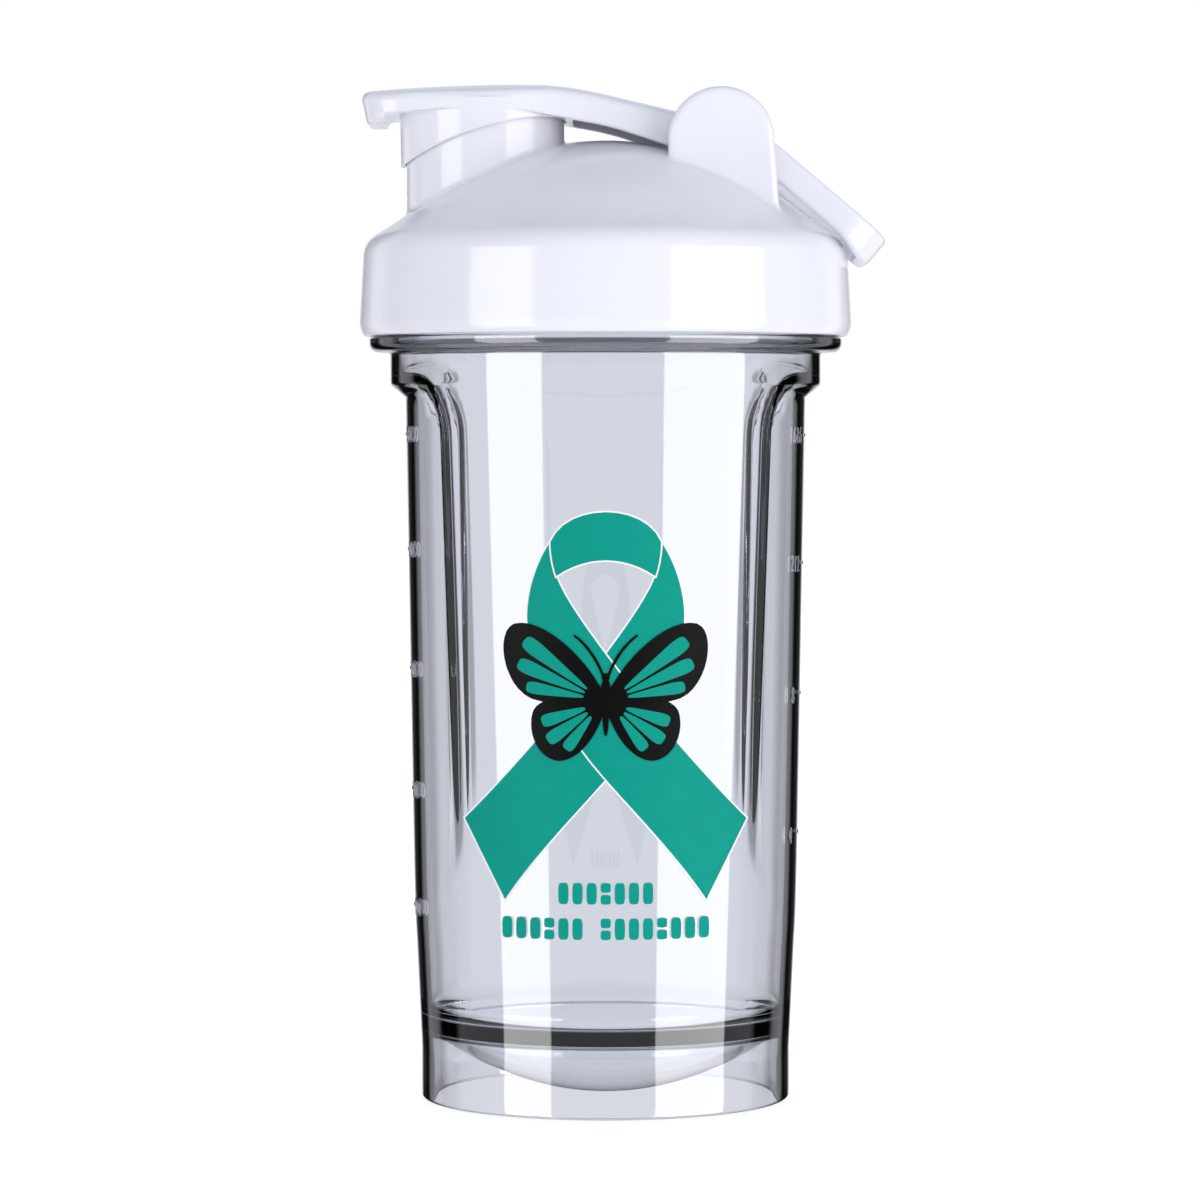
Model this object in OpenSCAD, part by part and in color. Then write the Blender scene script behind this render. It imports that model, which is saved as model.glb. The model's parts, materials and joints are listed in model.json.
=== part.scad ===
// Shaker bottle: clear tapered cup, white screw lid with an offset spout,
// flip cap with a guard sleeve, and a swinging carry loop on the cap's hinge pin.
// Origin: centre of the ring that the cup stands on. +Z up, +X from the spout to the hinge.
// Sizes are in millimetres.

/* [Cup] */
// Radius of the foot skirt
foot_r = 36.8; // [36.4:0.1:37.2]
// Radius of the collar at the top of the tapered wall
collar_r = 42.9; // [42.7:0.1:43.1]
// Wall of the cup
cup_wall = 2.3; // [2:0.1:2.5]
// Depth of the grip recess below its upper ramp, measured from the collar
grip_depth = 3.1; // [2:0.1:3.3]
// Half of the angle that one grip recess covers
grip_half_angle = 39; // [34:1:44]

/* [Lid] */
// Outer radius of the lid's lower edge
lid_r = 49.1; // [48.8:0.1:49.6]
// Wall of the dome
dome_wall = 2.2; // [1.8:0.1:2.4]
// Rise of the lid for one turn
thread_lead = 6; // [5.6:0.1:6.4]
// Outer radius of the spout
spout_r = 15.7; // [15.2:0.1:15.7]
// Distance from the lid's axis to the spout's axis
spout_offset = 23.9; // [23.5:0.1:24.2]

/* [Hinge] */
// Hinge axis from the lid's axis
hinge_x = 22.6; // [22.3:0.1:22.9]
// Height of the hinge axis
hinge_z = 190.2; // [190:0.1:190.6]
// Radius of the hinge pin
pin_r = 1.5; // [1.3:0.1:1.7]
// Gap between the two ears
ear_gap = 34; // [34:0.1:34.4]

/* [Carry loop] */
// Length of the loop from the hinge axis
loop_length = 37.9; // [37.5:0.1:38.5]
// Width of the loop outside its arms
loop_w = 33.4; // [33:0.1:33.4]
// Angle of the loop below the horizontal when it rests on the lid's shoulder
loop_rest = 40.1; // [38:0.1:40.5]

/* [Hidden] */
$fn = 96;
far = 70;
clear_white = [0.86, 0.88, 0.90];
gloss_white = [0.95, 0.95, 0.96];
seal_grey = [0.80, 0.81, 0.83];
pin_grey = [0.72, 0.73, 0.75];

// Heights along the cup
foot_top_z = 10;
grip_low_z = 30;
collar_z = 142.6;
flange_z = 148.9;
rim_z = 151.7;
mouth_z = 168;
// Floor: a bowl that hangs inside the foot skirt
floor_centre_z = 52.3;
floor_r = 48.7;
floor_wall = 2.4;
floor_fillet = 4;
// Neck and its thread
flange_r = 47.1;
neck_r = 43.6;
mouth_r = 41.3;
thread_top_r = 45.2;
thread_root_half = 1.5;
thread_crest_half = 0.5;
cup_thread_z = 158;
cup_thread_turns = 1.25;
lid_thread_turns = 1;
// The lid's thread hangs under the cup's thread by this much, so that the flanks nearly meet
thread_drop = 1.9;
steps_per_turn = 36;
fade_steps = 4;

// Lid shell
lid_z = 152;
shoulder_r = 46.7;
shoulder_z = 171.7;
band_r = 40.6;
dome_r = 60;
dome_centre_z = 131;
lid_bore_r = 46.6;
seal_seat_z = 170.2;
seal_rib_in = 39;
seal_rib_out = 40.6;
spout_z = 195.5;
spout_wall = 2.1;

// Ears and hinge barrel
ear_t = 3;
ear_r = 10.4;
barrel_r = 4.2;
eye_r = 4.4;
pocket_r = 4.8;
running_gap = 0.06;
seat_gap = 0.02;

// Flip cap
cap_arm_w = 27;
sleeve_out = 17.1;
sleeve_in = 16.05;
sleeve_edge_r = 66;
sleeve_edge_x = -6;
sleeve_edge_z = 129.3;
cap_ceiling_z = 198.4;
crown_r = 75;
cap_top_z = 202;

function taper_r(z) = foot_r + (collar_r - foot_r) * (z - foot_top_z) / (collar_z - foot_top_z);
function dome_z(r, shell) = dome_centre_z + sqrt(shell * shell - r * r);
function arc(x, z, r, from, to, n) =
    [for (i = [0:n]) let (a = from + (to - from) * i / n) [x + r * cos(a), z + r * sin(a)]];

// A solid slice that runs across the lid, from an outline in x and z
module across(width) {
    translate([0, width / 2, 0]) rotate([90, 0, 0]) linear_extrude(width) children();
}

// A round bar or hole along the hinge axis
module hinge_bar(r, y0, y1) {
    translate([hinge_x, y1, hinge_z]) rotate([90, 0, 0]) cylinder(h = y1 - y0, r = r);
}

// A helical ridge. The crest sinks into the wall over a few steps at each end.
module thread(r_in, half_in, r_out, half_out, z, from, turns, inward) {
    n = round(turns * steps_per_turn);
    points = [for (i = [0:n])
        let (
            a = from + 360 * turns * i / n,
            h = z + thread_lead * turns * i / n,
            rise = max(0.04, min(1, i / fade_steps, (n - i) / fade_steps)),
            lo = inward ? r_out - (r_out - r_in) * rise : r_in,
            hi = inward ? r_out : r_in + (r_out - r_in) * rise
        )
        each [
            [lo * cos(a), lo * sin(a), h - half_in], [hi * cos(a), hi * sin(a), h - half_out],
            [hi * cos(a), hi * sin(a), h + half_out], [lo * cos(a), lo * sin(a), h + half_in]
        ]];
    sides = [for (i = [0:n - 1], k = [0:3])
        let (p = 4 * i + k, q = 4 * i + (k + 1) % 4)
        each [[p, q, q + 4], [p, q + 4, p + 4]]];
    ends = [[0, 3, 2], [0, 2, 1], [4 * n, 4 * n + 1, 4 * n + 2], [4 * n, 4 * n + 2, 4 * n + 3]];
    polyhedron(points, concat(sides, ends));
}

// ---- Cup ----

// The two side zones where the wall is drawn in. sink moves the drawn-in wall inwards.
module grip_zones(sink, spread) {
    low_r = taper_r(grip_low_z) + 0.3 - sink;
    top_r = collar_r - grip_depth - sink;
    top_z = collar_z - 3 + 0.6 * sink;
    for (side = [0, 180]) rotate(side) intersection() {
        rotate_extrude() polygon([
            [low_r, grip_low_z], [top_r, top_z], [top_r + grip_depth + 1.2, top_z + 3.4],
            [far, top_z + 3.4], [far, grip_low_z]
        ]);
        linear_extrude(far * 3) polygon([
            [0, 0], [far, -far * tan(grip_half_angle + spread)],
            [far, far * tan(grip_half_angle + spread)]
        ]);
    }
}

module cup_outside() {
    edge = 1.6;
    rotate_extrude() polygon(concat(
        [[0, 0], [foot_r - 0.6, 0], [foot_r, 0.6], [foot_r, foot_top_z],
         [collar_r, collar_z], [collar_r, flange_z]],
        arc(flange_r - edge, flange_z + edge, edge, -90, 0, 5),
        [[flange_r, rim_z - 0.3], [flange_r - 0.3, rim_z], [neck_r, rim_z],
         [neck_r, mouth_z - 0.4], [neck_r - 0.4, mouth_z], [0, mouth_z]]
    ));
}

module cup_inside() {
    corner_r = taper_r(19) - cup_wall - floor_fillet;
    reach = floor_r - floor_fillet;
    corner_z = floor_centre_z - sqrt(reach * reach - corner_r * corner_r);
    lean = -acos(corner_r / reach);
    rotate_extrude() polygon(concat(
        arc(0, floor_centre_z, floor_r, -90, lean, 14),
        arc(corner_r, corner_z, floor_fillet, lean, 0, 6),
        [[collar_r - cup_wall, collar_z], [mouth_r, rim_z - 2], [mouth_r, mouth_z - 0.4],
         [mouth_r + 0.4, mouth_z], [mouth_r + 0.4, mouth_z + 1], [0, mouth_z + 1]]
    ));
}

module foot_hollow() {
    under_r = floor_r + floor_wall;
    skirt_in = foot_r - cup_wall;
    rotate_extrude() polygon(concat(
        [[0, -1], [skirt_in, -1]],
        arc(0, floor_centre_z, under_r, -acos(skirt_in / under_r), -90, 14)
    ));
}

module cup() {
    color(clear_white, 0.45) {
        difference() {
            cup_outside();
            grip_zones(0, 0);
            foot_hollow();
            difference() {
                cup_inside();
                grip_zones(cup_wall, 3);
            }
        }
        thread(neck_r - 0.6, thread_root_half, thread_top_r, thread_crest_half,
               cup_thread_z, 0, cup_thread_turns, false);
    }
}

// ---- Lid ----

module lid_outside() {
    band_z = dome_z(band_r, dome_r);
    rotate_extrude() polygon(concat(
        [[0, lid_z], [lid_r - 0.8, lid_z], [lid_r, lid_z + 1.6], [lid_r - 0.9, shoulder_z - 2.2]],
        arc(lid_r - 2.9, shoulder_z - 2.2, 2, 10, 60, 4),
        [[shoulder_r - 0.3, shoulder_z + 0.1]],
        [[band_r, band_z]],
        arc(0, dome_centre_z, dome_r, acos(band_r / dome_r), 90, 20)
    ));
}

module lid_inside() {
    inner_r = dome_r - dome_wall;
    rotate_extrude() polygon(concat(
        [[0, lid_z - 1], [lid_bore_r, lid_z - 1], [lid_bore_r, seal_seat_z],
         [seal_rib_in, seal_seat_z]],
        arc(0, dome_centre_z, inner_r, acos(seal_rib_in / inner_r), 90, 20)
    ));
}

module spout_at() {
    translate([-spout_offset, 0, 0]) children();
}

module spout_tube() {
    lip = 0.5;
    spout_at() rotate_extrude() polygon([
        [0, shoulder_z], [spout_r, shoulder_z], [spout_r, spout_z - lip],
        [spout_r - lip, spout_z], [0, spout_z]
    ]);
}

module ears() {
    for (side = [-1, 1]) translate([0, side * (ear_gap + ear_t) / 2, 0]) across(ear_t)
        polygon(concat(
            [[hinge_x - ear_r, shoulder_z]],
            arc(hinge_x, hinge_z, ear_r, 180, 0, 24),
            [[hinge_x + ear_r + 1.4, shoulder_z]]
        ));
}

// Thicker roof under the hinge, where the pocket is cut
module hinge_pad() {
    intersection() {
        translate([0, 0, dome_centre_z]) difference() {
            sphere(r = dome_r - dome_wall + 0.5);
            sphere(r = dome_r - dome_wall - 2.4);
        }
        translate([hinge_x - 11, -19, 160]) cube([23, 38, 40]);
    }
}

module lid() {
    rib_low_z = mouth_z - 2.4;
    color(gloss_white) {
        difference() {
            union() {
                difference() {
                    union() {
                        lid_outside();
                        spout_tube();
                        ears();
                    }
                    lid_inside();
                }
                hinge_pad();
                rotate_extrude() polygon([
                    [seal_rib_in, rib_low_z], [seal_rib_out - 0.5, rib_low_z],
                    [seal_rib_out, rib_low_z + 0.8], [seal_rib_out, seal_seat_z + 0.5],
                    [seal_rib_in, seal_seat_z + 0.5]
                ]);
            }
            spout_at() translate([0, 0, lid_z]) cylinder(h = 60, r = spout_r - spout_wall);
            hinge_bar(pocket_r, -ear_gap / 2, ear_gap / 2);
            hinge_bar(pin_r + seat_gap, -ear_gap / 2 - 2, ear_gap / 2 + ear_t + 1);
        }
        thread(neck_r + 0.6, thread_crest_half, lid_bore_r + 0.6, thread_root_half,
               cup_thread_z - thread_drop - thread_lead / 4, -90, lid_thread_turns, true);
    }
}

module lid_seal() {
    color(seal_grey) translate([0, 0, mouth_z + 0.1]) difference() {
        cylinder(h = 2, r = neck_r + 0.5);
        translate([0, 0, -1]) cylinder(h = 4, r = seal_rib_out + 0.15);
    }
}

// ---- Flip cap ----

// Side view of the cap: crowned top, thumb tab with a small lip, arm down to the hinge
module cap_side_outline() {
    polygon([
        [-47.4, 194.8], [-48.1, 196.4], [-48.3, 198.6], [-47.9, 199.4], [-46.9, 200.2],
        [-40.3, 201.3], [-32, 201.9], [-22.5, cap_top_z], [-11, cap_top_z], [-8.4, 201.8],
        [-6.1, 201.4], [13.9, 196.8], [hinge_x + 1, hinge_z + barrel_r],
        [hinge_x, hinge_z - barrel_r + 0.5], [18, 189.4], [12.3, 189.4], [6, 191.4],
        [0.3, 193.2], [-7.4, 194.7], [-13.5, 195.6], [-19.3, 196], [-27, 196],
        [-34, 195.9], [-42.5, 195.6], [-43.8, 194.8]
    ]);
}

// Top view of the cap: arm, disc over the spout, tapering thumb tab
module cap_top_outline() {
    arm = cap_arm_w / 2;
    tip = 14.6;
    round_r = 5;
    union() {
        translate([-8, -arm]) square([hinge_x + barrel_r + 9, cap_arm_w]);
        translate([-spout_offset, 0]) circle(r = sleeve_out);
        for (side = [-1, 1]) translate([-48.3 + round_r, side * (tip - round_r)])
            circle(r = round_r);
        polygon([
            [-48.3, -tip + round_r], [-43.9, -tip], [-27, -sleeve_out], [-20, -16.9],
            [-7, -arm], [-7, arm], [-20, 16.9], [-27, sleeve_out], [-43.9, tip],
            [-48.3, tip - round_r]
        ]);
    }
}

module sleeve() {
    difference() {
        spout_at() translate([0, 0, 184]) cylinder(h = cap_ceiling_z - 183, r = sleeve_out);
        translate([sleeve_edge_x, 0, sleeve_edge_z]) rotate([90, 0, 0])
            cylinder(h = 60, r = sleeve_edge_r, center = true, $fn = 180);
    }
}

module flip_cap() {
    arm_hollow_w = cap_arm_w - 4.4;
    color(gloss_white) difference() {
        union() {
            intersection() {
                across(60) cap_side_outline();
                translate([0, 0, 180]) linear_extrude(30) cap_top_outline();
                translate([-60, 0, cap_top_z - crown_r]) rotate([0, 90, 0])
                    cylinder(h = 100, r = crown_r, $fn = 180);
            }
            sleeve();
            hinge_bar(barrel_r, -cap_arm_w / 2, cap_arm_w / 2);
        }
        spout_at() translate([0, 0, 180]) cylinder(h = cap_ceiling_z - 180, r = sleeve_in);
        across(arm_hollow_w) polygon([
            [-6.4, 190], [-6.4, 198.6], [11, 194.6], [15.4, 191.6], [15.4, 186], [2, 186]
        ]);
        hinge_bar(pin_r + running_gap, -cap_arm_w, cap_arm_w);
    }
}

module spout_seal() {
    bore = spout_r - spout_wall;
    disc_z = spout_z + 0.2;
    color(seal_grey) spout_at() rotate_extrude() polygon([
        [0, cap_ceiling_z], [sleeve_in - 0.35, cap_ceiling_z], [sleeve_in - 0.35, disc_z],
        [bore - 0.35, disc_z - 0.1], [bore - 0.9, disc_z - 3.6], [bore - 1.7, disc_z - 4.4],
        [bore - 2.9, disc_z - 4.4], [bore - 2.9, disc_z], [0, disc_z]
    ]);
}

// ---- Carry loop ----

// Side view of the loop, along its own arm: u away from the hinge, w towards its upper face
module loop_side_outline() {
    top = 6.5;
    corner = 1.6;
    polygon(concat(
        [[0, -eye_r], [8, -0.8], [18, 0.9], [28, 0.8], [33.5, 0.1]],
        arc(loop_length - 2, 1.4, 2, -100, 0, 5),
        arc(loop_length - corner, top - corner, corner, 0, 90, 4),
        [[7.5, top], [-1.5, 4.1]]
    ));
}

// Top view of one rounded U, open at the hinge end
module loop_top_outline(half, tip, corner) {
    translate([-eye_r - 1, -half]) square([tip - corner + eye_r + 1, 2 * half]);
    translate([tip - corner, -half + corner]) square([corner, 2 * (half - corner)]);
    for (side = [-1, 1]) translate([tip - corner, side * (half - corner)]) circle(r = corner);
}

module carry_loop() {
    band = 2.8;
    half = loop_w / 2;
    color(gloss_white) difference() {
        translate([hinge_x, 0, hinge_z]) rotate([0, loop_rest, 0]) union() {
            difference() {
                intersection() {
                    across(60) loop_side_outline();
                    translate([0, 0, -10]) linear_extrude(20)
                        loop_top_outline(half, loop_length, 9);
                }
                translate([0, 0, -11]) linear_extrude(22)
                    loop_top_outline(half - band, loop_length - band, 6.2);
            }
            for (y = [-half + band, half]) translate([0, y, 0]) rotate([90, 0, 0])
                cylinder(h = band, r = eye_r);
        }
        hinge_bar(pin_r + running_gap, -far / 2, far / 2);
    }
}

module hinge_pin() {
    color(pin_grey) hinge_bar(pin_r, -ear_gap / 2 - 1.8, ear_gap / 2 + ear_t - 0.1);
}

cup();
lid();
lid_seal();
flip_cap();
spout_seal();
carry_loop();
hinge_pin();
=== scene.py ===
"""Looks for the shaker bottle: clear cup, glossy white lid, flip cap and carry loop, a printed decal.

Sizes are in millimetres until a mesh is made. The hinge, the spout and the overall heights come from
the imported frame. Lid, cap and loop are signed distance fields, negative inside, meshed on a fine grid,
so every join has a true fillet. The cup is one closed skin swept round its own profile.
"""

import json
import math

import bmesh
import bpy
import numpy as np
from mathutils import Matrix, Vector


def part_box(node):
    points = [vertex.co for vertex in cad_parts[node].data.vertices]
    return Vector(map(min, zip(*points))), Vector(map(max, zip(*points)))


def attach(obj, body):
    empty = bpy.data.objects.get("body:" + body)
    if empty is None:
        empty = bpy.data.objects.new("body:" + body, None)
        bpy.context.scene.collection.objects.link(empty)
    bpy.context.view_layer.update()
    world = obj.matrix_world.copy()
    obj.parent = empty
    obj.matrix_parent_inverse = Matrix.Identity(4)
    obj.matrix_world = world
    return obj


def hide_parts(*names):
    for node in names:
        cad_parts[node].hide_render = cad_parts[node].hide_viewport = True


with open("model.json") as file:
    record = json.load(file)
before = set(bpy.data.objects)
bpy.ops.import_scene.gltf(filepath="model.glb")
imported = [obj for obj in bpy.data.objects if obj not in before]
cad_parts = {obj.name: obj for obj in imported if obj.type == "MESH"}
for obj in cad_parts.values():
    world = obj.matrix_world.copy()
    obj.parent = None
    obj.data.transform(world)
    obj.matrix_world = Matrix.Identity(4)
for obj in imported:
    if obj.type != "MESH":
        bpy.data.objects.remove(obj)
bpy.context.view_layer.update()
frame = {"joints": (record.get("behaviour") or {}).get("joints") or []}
MM = 0.001


# ---------------------------------------------------------------- places from the frame

def node_box(node):
    lo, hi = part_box(node)
    return np.array(lo) / MM, np.array(hi) / MM


def joint_place(name):
    joint = next(j for j in frame["joints"] if j["name"] == name)
    return np.array(joint["pos_m"]) / MM


HINGE_X, _, HINGE_Z = joint_place("cap_flip")
PLUG_LO, PLUG_HI = node_box("spout_seal")
SPOUT_X = (PLUG_LO[0] + PLUG_HI[0]) / 2
MOUTH_Z = node_box("cup")[1][2]
LID_LO, LID_HI = node_box("lid")
CAP_LO, CAP_HI = node_box("flip_cap")
SEAL_LO, SEAL_HI = node_box("lid_seal")
PIN_LO, PIN_HI = node_box("hinge_pin")

# Cup
FOOT_R, FOOT_TOP_Z = 36.8, 10.0
COLLAR_R, COLLAR_Z = 42.9, 142.6
CUP_WALL = 2.3
FLOOR_R, FLOOR_WALL, FLOOR_CENTRE_Z = 48.7, 2.4, 52.3
FLANGE_R, FLANGE_Z, RIM_Z = 47.1, 148.9, 151.7
NECK_R, MOUTH_R = 43.6, 41.3
THREAD_LEAD, THREAD_Z, THREAD_TURNS, THREAD_HIGH = 6.0, 158.0, 1.25, 1.6
GRIP_HALF = math.radians(39)
GRIP_LOW_Z, GRIP_TOP_Z, GRIP_FINE_LOW_Z, GRIP_FINE_TOP_Z = 33.0, 141.3, 136, 147

# Lid
LID_Z, LID_R, LID_WALL_TOP_R, LID_WALL_TOP_Z = 152.0, 49.1, 48.2, 169.5
BAND_LOW_R, BAND_LOW_Z, BAND_TOP_R, BAND_TOP_Z = 46.7, 171.7, 40.6, 175.2
LID_BORE_R, LID_BORE_TOP_Z = 46.6, 170.2
DOME_R, DOME_WALL, DOME_CENTRE_Z, DOME_BORE_R = 60.0, 2.2, 131.0, 39.0
ROOF_Z = 172.0
SPOUT_R, SPOUT_WALL, SPOUT_Z = 15.7, 2.1, 195.5
EAR_IN, EAR_OUT, EAR_R = 17.0, 20.0, 10.4
POCKET_R, BARREL_R, EYE_R, PIN_R = 4.8, 4.2, 4.4, 1.5
SEAL_BORE_R = 40.75

# Flip cap
SLEEVE_R, SLEEVE_BORE_R, SLEEVE_TOP_Z, SLEEVE_ROOF_Z = 17.1, 16.05, 198.6, 198.4
ARM_HALF, ARM_HOLLOW_HALF, ARM_SKIN = 13.5, 11.3, 2.3
PLUG_FLANGE_R, PLUG_FLANGE_THICK = 15.7, 2.7

# Loop, in its own frame: u runs out from the pin along the arm, w is square to it
LOOP_REST = math.radians(40.1)
LOOP_LENGTH, LOOP_HALF, LOOP_BAND, LOOP_TOP_W = 37.9, 16.7, 2.8, 6.5

# Gaps round the pin, room for a field round its CAD box, inner radius of a turned solid, print layers
PRESS_GAP, TURN_GAP, MARGIN, AXIS_R = 0.02, 0.06, 1.0, 0.02
LAYER_THICK, LAYER_STEP = 0.03, 0.035


# ---------------------------------------------------------------- mesh helpers

def new_object(name, mesh, material, smooth=True):
    for polygon in mesh.polygons:
        polygon.use_smooth = smooth
    mesh.materials.append(material)
    piece = bpy.data.objects.new(name, mesh)
    bpy.context.collection.objects.link(piece)
    return piece


def mesh_from_arrays(name, points_mm, faces):
    """A mesh from an array of points and an array of quads, or a mixed list of faces."""
    mesh = bpy.data.meshes.new(name)
    mesh.from_pydata((points_mm * MM).tolist(), [], [list(f) for f in faces])
    mesh.validate()
    return mesh


def smin(a, b, k):
    """The smaller of two fields, with a fillet about k wide where they meet."""
    h = np.clip(0.5 + 0.5 * (b - a) / k, 0, 1)
    return b + (a - b) * h - k * h * (1 - h)


def smax(a, b, k):
    return -smin(-a, -b, k)


def smoothstep(lo, hi, t):
    u = np.clip((t - lo) / (hi - lo), 0, 1)
    return u * u * (3 - 2 * u)


EDGES = [(0, 1), (2, 3), (4, 5), (6, 7), (0, 2), (1, 3), (4, 6), (5, 7), (0, 4), (1, 5), (2, 6), (3, 7)]
CORNERS = np.array([(i, j, k) for k in (0, 1) for j in (0, 1) for i in (0, 1)])


def gradient(field, p, step=0.02):
    columns = []
    for axis in range(3):
        shift = np.zeros(3)
        shift[axis] = step
        ahead, behind = p + shift, p - shift
        columns.append((field(*ahead.T) - field(*behind.T)) / (2 * step))
    return np.stack(columns, axis=1)


def mesh_field(name, field, lo, hi, cell):
    """Surface nets over a field, with each vertex then moved onto the surface itself."""
    axes = [np.arange(a, b + cell, cell) for a, b in zip(lo, hi)]
    x, y, z = axes[0][:, None, None], axes[1][None, :, None], axes[2][None, None, :]
    shape = tuple(len(a) for a in axes)
    volume = np.broadcast_to(field(x, y, z), shape)
    inside = volume < 0
    count = np.zeros([n - 1 for n in shape], np.int8)
    for i, j, k in CORNERS:
        count += inside[i:shape[0] - 1 + i, j:shape[1] - 1 + j, k:shape[2] - 1 + k]
    cells = np.argwhere((count > 0) & (count < 8))
    values = np.stack([volume[tuple((cells + c).T)] for c in CORNERS], axis=1)
    total, crossings = np.zeros((len(cells), 3)), np.zeros(len(cells))
    for a, b in EDGES:
        cut = (values[:, a] < 0) != (values[:, b] < 0)
        t = values[cut, a] / (values[cut, a] - values[cut, b])
        total[cut] += CORNERS[a] + t[:, None] * (CORNERS[b] - CORNERS[a])
        crossings[cut] += 1
    points = np.array(lo) + (cells + total / crossings[:, None]) * cell
    index = np.full(count.shape, -1, np.int32)
    index[tuple(cells.T)] = np.arange(len(cells))
    faces = []
    for axis in range(3):
        u, v = (axis + 1) % 3, (axis + 2) % 3
        low = [slice(1, n - 1) for n in shape]
        low[axis] = slice(0, shape[axis] - 1)
        high = list(low)
        high[axis] = slice(1, shape[axis])
        start, end = inside[tuple(low)], inside[tuple(high)]
        at = np.argwhere(start != end)
        at[:, u] += 1
        at[:, v] += 1
        ring = []
        for du, dv in ((-1, -1), (0, -1), (0, 0), (-1, 0)):
            corner = at.copy()
            corner[:, u] += du
            corner[:, v] += dv
            ring.append(index[tuple(corner.T)])
        quads = np.stack(ring, axis=1)
        outward = inside[tuple(at.T)]
        quads[~outward] = quads[~outward][:, ::-1]
        faces.append(quads)
    passes, least_slope, longest_move = 5, 0.05, 0.4 * cell
    for _ in range(passes):
        slope = gradient(field, points)
        size = np.maximum((slope ** 2).sum(axis=1), least_slope)
        move = slope * (field(*points.T) / size)[:, None]
        points -= np.clip(move, -longest_move, longest_move)
    mesh = mesh_from_arrays(name, points, np.concatenate(faces))
    normals = gradient(field, points)
    normals /= np.linalg.norm(normals, axis=1)[:, None]
    return mesh, normals


def field_piece(name, field, lo, hi, cell, material):
    """A piece from a field, with the field's own slope as its shading normals."""
    mesh, normals = mesh_field(name, field, lo, hi, cell)
    piece = new_object(name, mesh, material)
    mesh.normals_split_custom_set_from_vertices(normals.tolist())
    return piece


def rounded_path(corners):
    """A polyline through (r, z, fillet) corners, with each fillet as an arc."""
    path = []
    for i, (r, z, fillet) in enumerate(corners):
        here = np.array([r, z])
        if fillet == 0 or i in (0, len(corners) - 1):
            path.append(here)
            continue
        before = np.array(corners[i - 1][:2]) - here
        after = np.array(corners[i + 1][:2]) - here
        before, after = before / np.linalg.norm(before), after / np.linalg.norm(after)
        half = math.acos(np.clip(before @ after, -1, 1)) / 2
        centre = here + (before + after) / np.linalg.norm(before + after) * fillet / math.sin(half)
        a, b = here + before * fillet / math.tan(half), here + after * fillet / math.tan(half)
        steps = max(2, round((math.pi - 2 * half) / math.radians(15)))
        for k in range(steps + 1):
            chord = a + (b - a) * k / steps - centre
            path.append(centre + chord / np.linalg.norm(chord) * fillet)
    return np.array(path)


def split_long(path, step_at):
    """Adds points so that no step of the path is longer than step_at says for that place."""
    out = [path[0]]
    for a, b in zip(path[:-1], path[1:]):
        steps = max(1, math.ceil(np.linalg.norm(b - a) / step_at((a + b) / 2)))
        out += [a + (b - a) * k / steps for k in range(1, steps + 1)]
    return np.array(out)


def arc_points(r, z, radius, start, end, steps):
    turn = [math.radians(start + (end - start) * k / steps) for k in range(steps + 1)]
    return [(r + radius * math.cos(a), z + radius * math.sin(a), 0) for a in turn]


def swept_skin(name, radius, height, angles, poles):
    """A closed skin from radius and height arrays, one row per angle. poles closes the two ends."""
    rows, columns = radius.shape
    x, y = radius * np.cos(angles)[:, None], radius * np.sin(angles)[:, None]
    points = np.stack([x, y, height], axis=2).reshape(-1, 3)
    at = np.arange(rows * columns).reshape(rows, columns)
    following = np.roll(at, -1, axis=0)
    if poles:
        first, last = len(points), len(points) + 1
        points = np.vstack([points, [(0, 0, poles[0]), (0, 0, poles[1])]])
        quads = np.stack([at[:, :-1], following[:, :-1], following[:, 1:], at[:, 1:]], axis=2)
        faces = quads.reshape(-1, 4).tolist()
        faces += [[first, b, a] for a, b in zip(at[:, 0], following[:, 0])]
        faces += [[last, a, b] for a, b in zip(at[:, -1], following[:, -1])]
    else:
        across = np.roll(at, -1, axis=1)
        corner = np.roll(following, -1, axis=1)
        faces = np.stack([at, following, corner, across], axis=2).reshape(-1, 4).tolist()
    return mesh_from_arrays(name, points, faces)


def turned_piece(name, outline, centre_x, material, sides=144):
    """A ring or a solid turned about a vertical axis, from a closed outline with fillets."""
    path = rounded_path(outline + [outline[0]])[:-1]
    angles = np.linspace(0, 2 * math.pi, sides, endpoint=False)
    radius = np.repeat(path[None, :, 0], sides, axis=0)
    height = np.repeat(path[None, :, 1], sides, axis=0)
    piece = new_object(name, swept_skin(name, radius, height, angles, None), material)
    piece.data.transform(Matrix.Translation((centre_x * MM, 0, 0)))
    return piece


# ---------------------------------------------------------------- materials

def node_material(name):
    material = bpy.data.materials.new(name)
    material.use_nodes = True
    return material, material.node_tree, material.node_tree.nodes["Principled BSDF"]


def set_inputs(shader, **values):
    for label, value in values.items():
        shader.inputs[label.replace("_", " ")].default_value = value


def noise(tree, scale, detail, roughness=0.5):
    place = tree.nodes.new("ShaderNodeTexCoord")
    texture = tree.nodes.new("ShaderNodeTexNoise")
    texture.inputs["Scale"].default_value = scale
    texture.inputs["Detail"].default_value = detail
    texture.inputs["Roughness"].default_value = roughness
    tree.links.new(place.outputs["Object"], texture.inputs["Vector"])
    return texture


def ramp(tree, source, stops):
    node = tree.nodes.new("ShaderNodeValToRGB")
    while len(node.color_ramp.elements) < len(stops):
        node.color_ramp.elements.new(0.5)
    for element, (position, colour) in zip(node.color_ramp.elements, stops):
        element.position = position
        element.color = (*colour, 1)
    tree.links.new(source, node.inputs["Fac"])
    return node.outputs["Color"]


def bump(tree, shader, source, strength, distance):
    node = tree.nodes.new("ShaderNodeBump")
    node.inputs["Strength"].default_value = strength
    node.inputs["Distance"].default_value = distance
    tree.links.new(source, node.inputs["Height"])
    tree.links.new(node.outputs["Normal"], shader.inputs["Normal"])


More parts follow.
